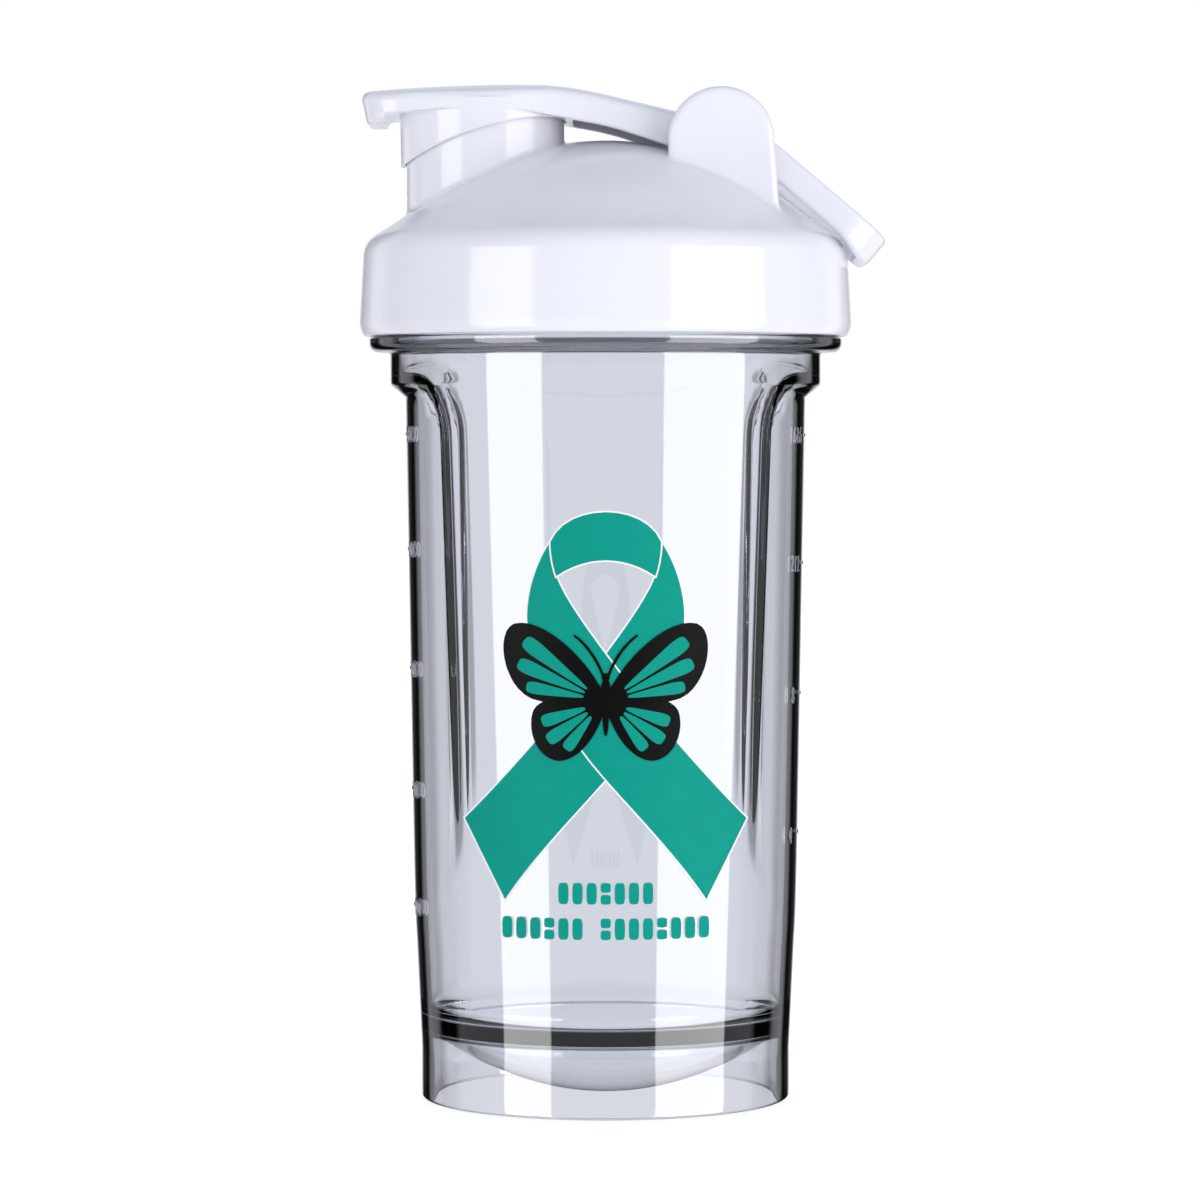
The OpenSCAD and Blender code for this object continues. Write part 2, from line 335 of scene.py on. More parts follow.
def clear_plastic():
    """Clear copolyester: slightly cool, with a little absorption in its thickness."""
    material, tree, shader = node_material("clear_copolyester")
    set_inputs(shader, Base_Color=(0.985, 0.99, 1, 1), Roughness=0.0, IOR=1.56)
    shader.inputs["Transmission Weight"].default_value = 1
    absorb = tree.nodes.new("ShaderNodeVolumeAbsorption")
    absorb.inputs["Color"].default_value = (0.80, 0.83, 0.90, 1)
    absorb.inputs["Density"].default_value = 50
    tree.links.new(absorb.outputs["Volume"], tree.nodes["Material Output"].inputs["Volume"])
    return material


def white_plastic():
    """Glossy white polypropylene, with faint flow clouding and a very fine mould texture."""
    material, tree, shader = node_material("white_polypropylene")
    cloud = noise(tree, 38, 3)
    tone = ramp(tree, cloud.outputs["Fac"], [(0.3, (0.80, 0.80, 0.845)), (0.7, (0.83, 0.83, 0.87))])
    tree.links.new(tone, shader.inputs["Base Color"])
    gloss = ramp(tree, noise(tree, 120, 4).outputs["Fac"], [(0.3, (0.1,) * 3), (0.7, (0.15,) * 3)])
    tree.links.new(gloss, shader.inputs["Roughness"])
    set_inputs(shader, IOR=1.5)
    shader.inputs["Specular IOR Level"].default_value = 0.28
    shader.inputs["Subsurface Weight"].default_value = 0.08
    shader.inputs["Subsurface Radius"].default_value = (0.004, 0.004, 0.004)
    bump(tree, shader, noise(tree, 900, 2).outputs["Fac"], 0.03, 0.0001)
    return material


def soft_rubber():
    """Milky silicone for the two seals."""
    material, tree, shader = node_material("milky_silicone")
    cloud = noise(tree, 60, 3)
    tone = ramp(tree, cloud.outputs["Fac"], [(0.3, (0.62, 0.63, 0.66)), (0.7, (0.68, 0.69, 0.71))])
    tree.links.new(tone, shader.inputs["Base Color"])
    set_inputs(shader, Roughness=0.5)
    shader.inputs["Subsurface Weight"].default_value = 0.2
    shader.inputs["Subsurface Radius"].default_value = (0.003, 0.003, 0.003)
    bump(tree, shader, noise(tree, 700, 3).outputs["Fac"], 0.08, 0.0001)
    return material


def drawn_steel():
    """Dull drawn wire for the hinge pin."""
    material, tree, shader = node_material("drawn_wire")
    cloud = noise(tree, 400, 3)
    tone = ramp(tree, cloud.outputs["Fac"], [(0.3, (0.5, 0.5, 0.52)), (0.7, (0.62, 0.62, 0.64))])
    tree.links.new(tone, shader.inputs["Base Color"])
    rough = ramp(tree, noise(tree, 600, 4).outputs["Fac"], [(0.3, (0.25,) * 3), (0.7, (0.4,) * 3)])
    tree.links.new(rough, shader.inputs["Roughness"])
    set_inputs(shader, Metallic=1.0)
    return material


def print_ink(name, colour, spread):
    """Matt printed film: a solid colour that varies in tone by the share in spread."""
    material, tree, shader = node_material(name)
    low = tuple(c * (1 - spread) for c in colour)
    tone = ramp(tree, noise(tree, 250, 4).outputs["Fac"], [(0.35, low), (0.65, colour)])
    tree.links.new(tone, shader.inputs["Base Color"])
    set_inputs(shader, Roughness=0.5)
    shader.inputs["Specular IOR Level"].default_value = 0.05
    return material


# ---------------------------------------------------------------- cup

def taper_r(z):
    return FOOT_R + (COLLAR_R - FOOT_R) * (z - FOOT_TOP_Z) / (COLLAR_Z - FOOT_TOP_Z)


def grip_floor_r(z):
    """Radius of the drawn-in wall: steeper than the taper, so it meets the taper near the foot."""
    start_r, start_z, slope = 38.1, 37, 0.0162
    return start_r + slope * (z - start_z)


def grip_sink(angle, z, spread, ramp_w):
    """How far the wall is drawn in at an angle and a height.

    spread widens the zone for the inner wall, and ramp_w is the width of its sloping edge. Angles are
    laid out flat at the cup's mean radius.
    """
    mean_r, corner_low, corner_top = 40, 22.0, 8.5 + spread
    from_x = np.abs((angle + math.pi / 2) % math.pi - math.pi / 2)
    half_w = GRIP_HALF * mean_r + spread
    middle = (GRIP_LOW_Z + GRIP_TOP_Z + spread) / 2
    half_h = (GRIP_TOP_Z + spread - GRIP_LOW_Z) / 2
    corner = np.where(z > middle, corner_top, corner_low)
    qx, qz = from_x * mean_r - half_w + corner, np.abs(z - middle) - half_h + corner
    outside = np.hypot(np.maximum(qx, 0), np.maximum(qz, 0))
    distance = outside + np.minimum(np.maximum(qx, qz), 0) - corner
    share = smoothstep(ramp_w / 2, -ramp_w / 2, distance)
    depth = taper_r(np.minimum(z, COLLAR_Z)) - grip_floor_r(z)
    return share * 0.5 * (depth + np.sqrt(depth ** 2 + 0.04) - 0.2)


def thread_ridge(angle, z):
    """Height of the neck's thread above the neck wall."""
    crest_half, root_half, fade_turn = 0.45, 1.45, 0.35
    high = np.zeros(np.broadcast(angle, z).shape)
    total = 2 * math.pi * THREAD_TURNS
    for lap in (0, 1):
        run = angle % (2 * math.pi) + lap * 2 * math.pi
        middle = THREAD_Z + THREAD_LEAD * run / (2 * math.pi)
        fade = smoothstep(0, fade_turn, run) * smoothstep(total, total - fade_turn, run)
        flank = smoothstep(root_half, crest_half, np.abs(z - middle))
        high = np.maximum(high, THREAD_HIGH * fade * flank)
    return high


def cup_path():
    """The cup's profile, from under the floor, out round the foot, up, over the mouth and down inside."""
    under = FLOOR_R + FLOOR_WALL
    skirt_in = FOOT_R - CUP_WALL
    skirt_turn = -math.degrees(math.acos((skirt_in - 0.5) / under))
    near_axis, steps = -89, 24
    corner, corner_steps, floor_edge_z = 4.0, 8, 19
    corner_r = taper_r(floor_edge_z) - CUP_WALL - corner
    reach = FLOOR_R - corner
    corner_z = FLOOR_CENTRE_Z - math.sqrt(reach ** 2 - corner_r ** 2)
    lean = -math.degrees(math.acos(corner_r / reach))
    below = arc_points(0, FLOOR_CENTRE_Z, under, near_axis, skirt_turn, steps)
    inside = arc_points(corner_r, corner_z, corner, 0, lean, corner_steps)
    inside += arc_points(0, FLOOR_CENTRE_Z, FLOOR_R, lean - 2, near_axis, steps)
    shell = [
        (skirt_in, below[-1][1] + 0.3, 0.8), (skirt_in - 0.1, 0, 0.5),
        (FOOT_R, 0, 0.7), (FOOT_R, FOOT_TOP_Z, 30),
        (COLLAR_R, COLLAR_Z, 20), (COLLAR_R, FLANGE_Z, 0.8), (FLANGE_R, FLANGE_Z, 1.7),
        (FLANGE_R, RIM_Z, 0.4), (NECK_R, RIM_Z, 0.5), (NECK_R, MOUTH_Z, 0.5), (MOUTH_R, MOUTH_Z, 0.6),
        (MOUTH_R, RIM_Z - 2, 10), (COLLAR_R - CUP_WALL, COLLAR_Z, 20)
    ]
    return rounded_path(below + shell + inside)


def cup_step(place):
    """Longest step along the profile: fine on the threaded neck and over the top of the grip zones."""
    r, z = place
    if RIM_Z < z < MOUTH_Z and r > NECK_R - 0.2:
        return 0.3
    if GRIP_FINE_LOW_Z < z < GRIP_FINE_TOP_Z:
        return 0.4
    return 2.2


def cup_angles():
    """Even steps, with finer ones across the sides of both grip zones."""
    sides, fine, edge = 240, math.radians(0.3), math.radians(5)
    turns = list(np.linspace(0, 2 * math.pi, sides, endpoint=False))
    for side in (0, math.pi):
        for sign in (-1, 1):
            middle = side + sign * GRIP_HALF
            turns += list(np.arange(middle - edge, middle + edge, fine))
    turns = np.sort(np.array(turns) % (2 * math.pi))
    return turns[np.concatenate([[True], np.diff(turns) > fine / 3])]


def make_cup(material):
    """The clear cup: its profile swept round, drawn in at both grip zones, with a thread on the neck."""
    path = split_long(cup_path(), cup_step)
    angles = cup_angles()
    r, z = path[None, :, 0], path[None, :, 1]
    angle = angles[:, None]
    top = int(np.argmax(path[:, 1]))
    outer = np.arange(len(path))[None, :] <= top
    sunk = np.where(outer, grip_sink(angle, z, 0.0, 3.0), grip_sink(angle, z, 1.0, 5.0))
    wall = (z > GRIP_LOW_Z - 8) & (z < COLLAR_Z + 6) & (r > FOOT_R - CUP_WALL - 1)
    radius = r - np.where(wall, sunk, 0)
    neck = outer & (z > RIM_Z + 2) & (z < MOUTH_Z - 0.4) & (r > NECK_R - 0.1)
    radius = radius + np.where(neck, thread_ridge(angle, z), 0)
    height = np.repeat(z, len(angles), axis=0)
    poles = (FLOOR_CENTRE_Z - FLOOR_R - FLOOR_WALL, FLOOR_CENTRE_Z - FLOOR_R)
    piece = new_object("cup_shell", swept_skin("cup_shell", radius, height, angles, poles), material)
    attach(piece, "cup")
    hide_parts("cup")


# ---------------------------------------------------------------- lid

def slope_plane(r, z, r0, z0, r1, z1):
    """Signed distance to the line from (r0, z0) to (r1, z1), positive on its right."""
    length = math.hypot(r1 - r0, z1 - z0)
    return ((r - r0) * (z1 - z0) - (z - z0) * (r1 - r0)) / length


def ear_field(x, y, z):
    """Both hinge ears: plates with a round top, whose outer edge leans out towards the band."""
    lean = 1.4
    round_top = np.hypot(x - HINGE_X, z - HINGE_Z) - EAR_R
    left = HINGE_X - EAR_R - x
    right = slope_plane(x, z, HINGE_X + EAR_R + lean, BAND_LOW_Z, HINGE_X + EAR_R, HINGE_Z)
    outline = np.minimum(round_top, np.maximum(np.maximum(left, right), z - HINGE_Z))
    plate = np.abs(np.abs(y) - (EAR_IN + EAR_OUT) / 2) - (EAR_OUT - EAR_IN) / 2
    return np.maximum(smax(outline, plate, 1.5), ROOF_Z - z)


def lid_outside(x, y, z):
    """Wall, sloping band, dome, spout and ears, all solid. Each part ends a little inside the next."""
    wall_low_z, lip_in, lip_high, base_top_z, dome_low_z = LID_Z + 1.6, 0.9, 1.7, 176.5, 170.5
    r = np.sqrt(x ** 2 + y ** 2)
    wall = slope_plane(r, z, LID_R, wall_low_z, LID_WALL_TOP_R, LID_WALL_TOP_Z)
    band = slope_plane(r, z, BAND_LOW_R, BAND_LOW_Z, BAND_TOP_R, BAND_TOP_Z)
    lip = slope_plane(r, z, LID_R - lip_in, LID_Z, LID_R, LID_Z + lip_high)
    base = smax(smax(smax(wall, band, 2.4), lip, 0.8), LID_Z - z, 0.5)
    base = np.maximum(base, z - base_top_z)
    dome = np.sqrt(r ** 2 + (z - DOME_CENTRE_Z) ** 2) - DOME_R
    body = smin(base, np.maximum(dome, dome_low_z - z), 1.0)
    spout = np.hypot(x - SPOUT_X, y) - SPOUT_R
    spout = np.maximum(smax(spout, z - SPOUT_Z, 0.9), ROOF_Z - z)
    return smin(smin(body, spout, 0.9), ear_field(x, y, z), 0.8)


def hinge_pad(x, y, z, ball):
    """A thicker patch under the dome, which carries the ears. ball is the distance to its centre."""
    outer_r, inner_r, middle_x, half_x, half_y, low_z = 58.3, 55.4, 0.5, 11.5, 19, 170
    pad = np.maximum(ball - outer_r, inner_r - ball)
    pad = smax(smax(pad, np.abs(x - HINGE_X - middle_x) - half_x, 1.2), np.abs(y) - half_y, 1.2)
    return np.maximum(pad, low_z - z)


def seal_rib(r, z):
    """The ring that holds the lid's seal."""
    middle_r, half_thick, low_z, top_z = 39.8, 0.8, 165.6, 171.0
    return np.maximum(smax(np.abs(r - middle_r) - half_thick, low_z - z, 0.7), z - top_z)


def lid_thread(x, y, z, r):
    """One turn of inner thread that hangs under the cup's thread."""
    drop, fade_turn, crest_half, flank_slope = 1.9, 0.06, 0.5, 0.4
    root_r, high, outer_r = 46.7, 2.5, 47.2
    turn = np.arctan2(y, x) / (2 * math.pi)
    start = THREAD_Z - drop - THREAD_LEAD / 4
    run = (turn + 0.25) % 1
    middle = start + THREAD_LEAD * run
    fade = smoothstep(0, fade_turn, run) * smoothstep(1, 1 - fade_turn, run)
    crest = root_r - high * fade
    flank = np.abs(z - middle) - (crest_half + (r - crest) * flank_slope)
    return smax(flank, np.abs(r - (crest + outer_r) / 2) - (outer_r - crest) / 2, 0.4)


def lid_field(x, y, z):
    """The whole lid: the outside less its bores, with the pad, rib and thread inside it."""
    dome_bore_low_z, spout_bore_low_z, blind_y, open_y = 168, 165, -19, 25
    r = np.sqrt(x ** 2 + y ** 2)
    ball = np.sqrt(r ** 2 + (z - DOME_CENTRE_Z) ** 2)
    bore = smax(r - LID_BORE_R, z - LID_BORE_TOP_Z, 0.8)
    under_dome = np.maximum(ball - DOME_R + DOME_WALL, r - DOME_BORE_R)
    under_dome = np.maximum(under_dome, dome_bore_low_z - z)
    body = smax(lid_outside(x, y, z), -smin(bore, under_dome, 0.4), 0.5)
    body = smin(body, hinge_pad(x, y, z, ball), 1.0)
    body = smin(body, seal_rib(r, z), 0.5)
    body = smin(body, lid_thread(x, y, z, r), 0.4)
    spout = np.hypot(x - SPOUT_X, y) - SPOUT_R + SPOUT_WALL
    body = smax(body, -np.maximum(spout, spout_bore_low_z - z), 0.9)
    about = np.hypot(x - HINGE_X, z - HINGE_Z)
    pocket = smax(about - POCKET_R, np.abs(y) - EAR_IN, 0.3)
    body = smax(body, -pocket, 0.5)
    pin_hole = np.maximum(np.maximum(about - PIN_R - PRESS_GAP, blind_y - y), y - open_y)
    return smax(body, -pin_hole, 0.2)


def make_lid(material):
    piece = field_piece("lid_shell", lid_field, LID_LO - MARGIN, LID_HI + MARGIN, 0.5, material)
    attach(piece, "lid")
    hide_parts("lid")


# ---------------------------------------------------------------- flip cap

def cap_top(x, y):
    """Height of the top: a shallow crown over the spout, then the arm's slope, all bowed across."""
    crown = CAP_HI[2] - 0.02 - (x + 17) ** 2 / 680
    arm = 196.8 - 0.235 * (x - 13.9)
    return smin(crown, arm, 1.5) - y ** 2 / 150


def cap_under(x):
    """Height of the underside: an arch under the tab, two slopes to the hinge, and the tab's lip."""
    arch = 196.6 - (x + 25) ** 2 / 280
    mid = 195.7 - 0.178 * (x + 13.5)
    low = 193.3 - 0.33 * (x - 0.3)
    lip_deep, lip_inside_x, lip_outside_x, lowest = 1.2, -43.3, -44.1, 189.4
    lip = lip_deep * smoothstep(lip_inside_x, lip_outside_x, x)
    return np.maximum(smin(smin(arch, mid, 0.6), low, 0.6), lowest) - lip


def cap_outline(x, y, z):
    """The cap seen from above: a tab that widens to the spout, then narrows to the hinge arm."""
    tab = SLEEVE_R + 0.145 * (x + 27)
    shoulder = 16.9 - 0.2615 * (x + 20)
    half = smax(smin(smin(tab, shoulder, 2.0), SLEEVE_R, 0.4), ARM_HALF, 1.5)
    tip = CAP_LO[0] + 0.05 + 0.22 * np.maximum(SLEEVE_TOP_Z - z, 0)
    end = np.hypot(np.maximum(x - HINGE_X, 0), z - HINGE_Z) - BARREL_R + 0.01
    return np.maximum(smax(np.abs(y) - half, tip - x, 9.0), end - 2 * np.maximum(HINGE_X - x, 0))


def cap_field(x, y, z):
    """Plate, sleeve and barrel together, less the spout's cavity, the arm's hollow and the bore.

    The sleeve's lower edge is cut by a large arc that clears the dome. Beside the barrel everything
    is cut to the arm's width, so that it stays clear of the loop's eyes.
    """
    arc_x, arc_z, arc_r, sleeve_draft, draft_z = -6, 129.3, 66, 0.02, 198
    hollow_x, hollow_half_x = 4.45, 10.85
    top, under = cap_top(x, y), cap_under(x)
    plate = smax(smax(cap_outline(x, y, z), z - top, 1.8), under - z, 0.8)
    spout = np.hypot(x - SPOUT_X, y)
    edge = arc_r - np.hypot(x - arc_x, z - arc_z)
    sleeve = smax(spout - SLEEVE_R - sleeve_draft * (z - draft_z), edge, 0.4)
    sleeve = np.maximum(sleeve, z - SLEEVE_TOP_Z)
    about = np.hypot(x - HINGE_X, z - HINGE_Z)
    barrel = smax(about - BARREL_R, np.abs(y) - ARM_HALF, 0.8)
    body = smin(smin(plate, sleeve, 0.5), barrel, 1.0)
    cavity = smax(spout - SLEEVE_BORE_R, z - SLEEVE_ROOF_Z, 0.8)
    body = smax(body, -cavity, 0.4)
    body = np.maximum(body, np.abs(y) - ARM_HALF - 4 * smoothstep(3, -5, x))
    hollow = smax(np.abs(y) - ARM_HOLLOW_HALF, np.abs(x - hollow_x) - hollow_half_x, 1.5)
    hollow = smax(hollow, z - top + ARM_SKIN, 1.5)
    body = smax(body, -hollow, 0.5)
    return smax(body, PIN_R + TURN_GAP - about, 0.2)


def make_cap(material):
    piece = field_piece("flip_cap_shell", cap_field, CAP_LO - MARGIN, CAP_HI + MARGIN, 0.32, material)
    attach(piece, "cap")
    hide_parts("flip_cap")


# ---------------------------------------------------------------- carry loop

def round_u(u, y, half, tip, corner):
    """A slab from the pin out to tip, half wide to each side, with round corners at its far end."""
    qu, qy = u - tip + corner, np.abs(y) - half + corner
    return np.hypot(np.maximum(qu, 0), np.maximum(qy, 0)) + np.minimum(np.maximum(qu, qy), 0) - corner


def loop_field(x, y, z):
    """A bent band between two eyes. Its lower edge rises from the eye to the bar and dips at its end."""
    corner, bow_r, dip, dip_from, dip_to = 9.0, 700, 1.2, 29, 36.5
    eye_low_w, bar_low_w, rise, rise_end, straight_end = -4.3, 0.95, 0.375, 14, 12
    dx, dz = x - HINGE_X, z - HINGE_Z
    u = dx * math.cos(LOOP_REST) - dz * math.sin(LOOP_REST)
    w = dx * math.sin(LOOP_REST) + dz * math.cos(LOOP_REST)
    bow = y ** 2 / (2 * bow_r)
    outer = round_u(u + bow, y, LOOP_HALF, LOOP_LENGTH, corner)
    inner = round_u(u + bow, y, LOOP_HALF - LOOP_BAND, LOOP_LENGTH - LOOP_BAND, corner - LOOP_BAND)
    low = np.where(u < rise_end, eye_low_w + u * rise, bar_low_w) - dip * smoothstep(dip_from, dip_to, u)
    low = np.minimum(low, bar_low_w)
    band = smax(smax(outer, -inner, 0.9), smax(w - LOOP_TOP_W, low - w, 0.3), 1.3)
    start = slope_plane(u, w, -1.5, 4.1, 7.5, LOOP_TOP_W)
    band = smax(band, np.maximum(-start, -0.2 - u), 0.8)
    arm = np.abs(np.abs(y) - LOOP_HALF + LOOP_BAND / 2) - LOOP_BAND / 2
    eye = smax(np.hypot(u, w) - EYE_R, arm, 0.8)
    body = smin(band, eye, 1.0)
    body = np.where(u < straight_end, np.maximum(body, arm), body)
    return smax(body, PIN_R + TURN_GAP - np.hypot(u, w), 0.2)


def make_loop(material):
    lo, hi = node_box("carry_loop")
    piece = field_piece("carry_loop_band", loop_field, lo - MARGIN, hi + MARGIN, 0.35, material)
    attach(piece, "loop")
    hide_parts("carry_loop")


# ---------------------------------------------------------------- seals and pin

def make_seals(material):
    """The flat ring in the lid's roof, and the plug that closes the spout."""
    lo, hi = SEAL_LO[2], SEAL_HI[2]
    inner, outer, fillet = SEAL_BORE_R, SEAL_HI[0], 0.5
    corners = ((inner, lo), (outer, lo), (outer, hi), (inner, hi))
    ring = turned_piece("lid_seal_ring", [(r, z, fillet) for r, z in corners], 0, material)
    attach(ring, "lift")
    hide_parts("lid_seal")
    low, high = PLUG_LO[2], PLUG_HI[2]
    disc_r, disc_z, bore = PLUG_FLANGE_R, high - PLUG_FLANGE_THICK, SPOUT_R - SPOUT_WALL
    plug = turned_piece("spout_plug", [
        (AXIS_R, high, 0), (disc_r, high, 0.4), (disc_r, disc_z, 0.5), (bore - 0.35, disc_z - 0.1, 0.4),
        (bore - 0.9, low + 0.8, 0.6), (bore - 1.7, low, 0.4), (bore - 2.9, low, 0.4),
        (bore - 2.9, disc_z, 1.5), (AXIS_R, disc_z, 0)], SPOUT_X, material)
    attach(plug, "cap")
    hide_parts("spout_seal")


def make_pin(material):
    """A drawn pin with small chamfers and a shallow centre mark on its end."""
    sides, chamfer_in, chamfer_long, mark_r, mark_deep = 48, 0.3, 0.4, 0.5, 0.2
    first, last = PIN_LO[1], PIN_HI[1]
    path = rounded_path([
        (AXIS_R, first, 0), (PIN_R - chamfer_in, first, 0.1), (PIN_R, first + chamfer_long, 0.2),
        (PIN_R, last - chamfer_long, 0.2), (PIN_R - chamfer_in, last, 0.1), (mark_r, last, 0.1),
        (mark_r - 0.2, last - mark_deep, 0.05), (AXIS_R, last - mark_deep, 0)])
    angles = np.linspace(0, 2 * math.pi, sides, endpoint=False)
    radius = np.repeat(path[None, :, 0], sides, axis=0)
    height = np.repeat(path[None, :, 1], sides, axis=0)
    mesh = swept_skin("hinge_pin_wire", radius, height, angles, (first, last - mark_deep))
    for vertex in mesh.vertices:
        x, y, z = vertex.co
        vertex.co = Vector((x + HINGE_X * MM, z, HINGE_Z * MM - y))
    pin = new_object("hinge_pin_wire", mesh, material)
    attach(pin, "lid")
    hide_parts("hinge_pin")


# ---------------------------------------------------------------- decal and scale

def curve_through(*pieces, steps=12):
    """Points along joined cubic curves. Each piece is four (x, z) control points."""
    out = []
    for a, b, c, d in pieces:
        for k in range(steps):
            t = k / steps
            s = 1 - t
            out.append(tuple(
                s ** 3 * a[i] + 3 * s * s * t * b[i] + 3 * s * t * t * c[i] + t ** 3 * d[i]
                for i in (0, 1)))
    out.append(tuple(pieces[-1][-1]))
    return out


def mirror_x(points):
    """The same outline on the other side of the middle, in an order that turns the same way."""
    return [(-x, z) for x, z in reversed(points)]


def oval(x, z, half_w, half_h, lean=0.0, steps=20):
    turns = [2 * math.pi * k / steps for k in range(steps)]
    flat = [(half_w * math.cos(a), half_h * math.sin(a)) for a in turns]
    c, s = math.cos(lean), math.sin(lean)
    return [(x + u * c - v * s, z + u * s + v * c) for u, v in flat]


def squircle(x, z, half_w, half_h, steps=24):
    """A rectangle with full round corners."""
    out = []
    for k in range(steps):
        c, s = math.cos(2 * math.pi * k / steps), math.sin(2 * math.pi * k / steps)
        u, v = math.copysign(abs(c) ** 0.5, c), math.copysign(abs(s) ** 0.5, s)
        out.append((x + u * half_w, z + v * half_h))
    return out


def wing_cell(root, from_turn, to_turn, from_r, to_r):
    """A rounded cell between two veins that fan out from the wing's root. Turns in degrees."""
    out = []
    for u, v in squircle(0, 0, 1, 1, 32):
        turn = math.radians((from_turn + to_turn) / 2 + u * (to_turn - from_turn) / 2)
        reach = (from_r + to_r) / 2 + v * (to_r - from_r) / 2
        out.append((root[0] + reach * math.cos(turn), root[1] + reach * math.sin(turn)))
    return out


def widened(outline, grow):
    """The same outline moved outwards by grow, point by point."""
    area = sum(a[0] * b[1] - b[0] * a[1] for a, b in zip(outline, outline[1:] + outline[:1]))
    out = []
    for before, here, after in zip(outline[-1:] + outline, outline, outline[1:] + outline[:1]):
        normals = []
        for a, b in ((before, here), (here, after)):
            edge = Vector((b[1] - a[1], a[0] - b[0]))
            normals.append(edge.normalized() * (1 if area > 0 else -1))
        middle = normals[0] + normals[1]
        reach = grow * min(2, 2 / middle.length_squared) if middle.length > 0.3 else 0
        out.append((here[0] + middle[0] * reach, here[1] + middle[1] * reach))
    return out


def flat_mesh(outlines, rims):
    """Filled outlines and thin rims round them in the x, z plane, cut so that they can bend."""
    sheet = bmesh.new()
    for outline in outlines:
        sheet.faces.new([sheet.verts.new((x * MM, 0, z * MM)) for x, z in outline])
    for outline, grow in rims:
        loops = []
        for ring in (outline, widened(outline, grow)):
            loops.append([sheet.verts.new((x * MM, 0, z * MM)) for x, z in ring])
        inner, outer = loops
        for k in range(len(inner)):
            sheet.faces.new((inner[k - 1], inner[k], outer[k], outer[k - 1]))
    bmesh.ops.triangulate(sheet, faces=sheet.faces[:], ngon_method="EAR_CLIP")
    strip, reach = 1.5, 20
    for k in range(-reach, reach + 1):
        geometry = sheet.verts[:] + sheet.edges[:] + sheet.faces[:]
        cut = (k * strip * MM, 0, 0)
        bmesh.ops.bisect_plane(sheet, geom=geometry, plane_co=cut, plane_no=(1, 0, 0))
    return sheet


def make_print(name, outlines, rims, lift, material):
    """A printed layer on the cup's front wall, lift millimetres above it."""
    sheet = flat_mesh(outlines, rims)
    front = bmesh.ops.extrude_face_region(sheet, geom=sheet.faces[:])["geom"]
    outer = {v for v in front if isinstance(v, bmesh.types.BMVert)}
    for vertex in sheet.verts:
        x, z = vertex.co.x / MM, vertex.co.z / MM
        skin = taper_r(z) + lift + (LAYER_THICK if vertex in outer else 0)
        vertex.co.y = -math.sqrt(skin ** 2 - x ** 2) * MM
    bmesh.ops.recalc_face_normals(sheet, faces=sheet.faces[:])
    mesh = bpy.data.meshes.new(name)
    sheet.to_mesh(mesh)
    sheet.free()
    piece = new_object(name, mesh, material, smooth=False)
    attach(piece, "cup")


def ribbon_shapes():
    """A plain looped ribbon: the tail that crosses in front, and the band over the top."""
    tail = curve_through(
        ((-10.6, 112.0), (-13.0, 108.6), (-15.1, 103.0), (-15.1, 97.5)),
        ((-15.1, 97.5), (-15.1, 88.5), (-8.6, 77.4), (-3.9, 71.1)),
        ((-3.9, 71.1), (1.2, 64.2), (12.6, 53.4), (19.5, 42.6)))
    far_edge = curve_through(
        ((27.4, 58.0), (21.0, 64.6), (8.4, 79.0), (0, 90.4)),
        ((0, 90.4), (-3.8, 95.6), (-7.8, 101), (-9.5, 105.4)))
    front = tail + far_edge
    over = curve_through(
        ((-10.6, 112.0), (-7.4, 119.6), (7.4, 119.6), (10.6, 112.0)),
        ((10.6, 112.0), (10.6, 109.8), (10.2, 107.4), (9.5, 105.4)),
        ((9.5, 105.4), (3.6, 109.5), (-3.6, 109.5), (-9.5, 105.4)),
        ((-9.5, 105.4), (-10.2, 107.4), (-10.6, 109.8), (-10.6, 112.0)))[:-1]
    return front, over


def wing_shapes():
    """The right-hand side of a plain butterfly: two round dark wings with bright panels."""
    upper = curve_through(
        ((0.2, 82.6), (4.0, 90.4), (12.4, 97.6), (17.6, 96.2)),
        ((17.6, 96.2), (21.4, 94.8), (20.0, 84.2), (14.4, 81.8)),
        ((14.4, 81.8), (10, 80.4), (5, 80.6), (0.2, 81.2)))
    lower = curve_through(
        ((0.2, 81.6), (6, 81.8), (12.2, 83), (14.0, 79.4)),
        ((14.0, 79.4), (15.4, 75.0), (12.8, 69.8), (8.8, 69.8)),
        ((8.8, 69.8), (4.8, 70.2), (1.6, 75.0), (0.2, 79.6)))
    high, low = (0.9, 81.7), (0.9, 81.0)
    cells = []
    for k, reach in enumerate((14.6, 17.4, 18.6)):
        cells.append(wing_cell(high, 4 + 14 * k, 15 + 14 * k, 3.4, reach))
    for k, reach in enumerate((12.0, 12.6, 11.2)):
        cells.append(wing_cell(low, -25 - 17.5 * k, -11 - 17.5 * k, 3.2, reach))
    return upper, lower, cells


def caption_marks():
    """Two rows of plain upright marks where a caption would stand. About one in four is split."""
    pitch, half_w, half_h = 2.72, 1.0, 2.1
    split_z, split_half = 1.15, 0.95
    marks = []
    for z, count, gap in ((44.2, 7, None), (37.3, 15, 6)):
        for k in range(count):
            x = (k - (count - 1) / 2) * pitch
            if k == gap:
                continue
            if (k * 3 + count) % 4:
                marks.append(squircle(x, z, half_w, half_h, 20))
            else:
                marks.append(squircle(x, z + split_z, half_w, split_half, 16))
                marks.append(squircle(x, z - split_z, half_w, split_half, 16))
    return marks


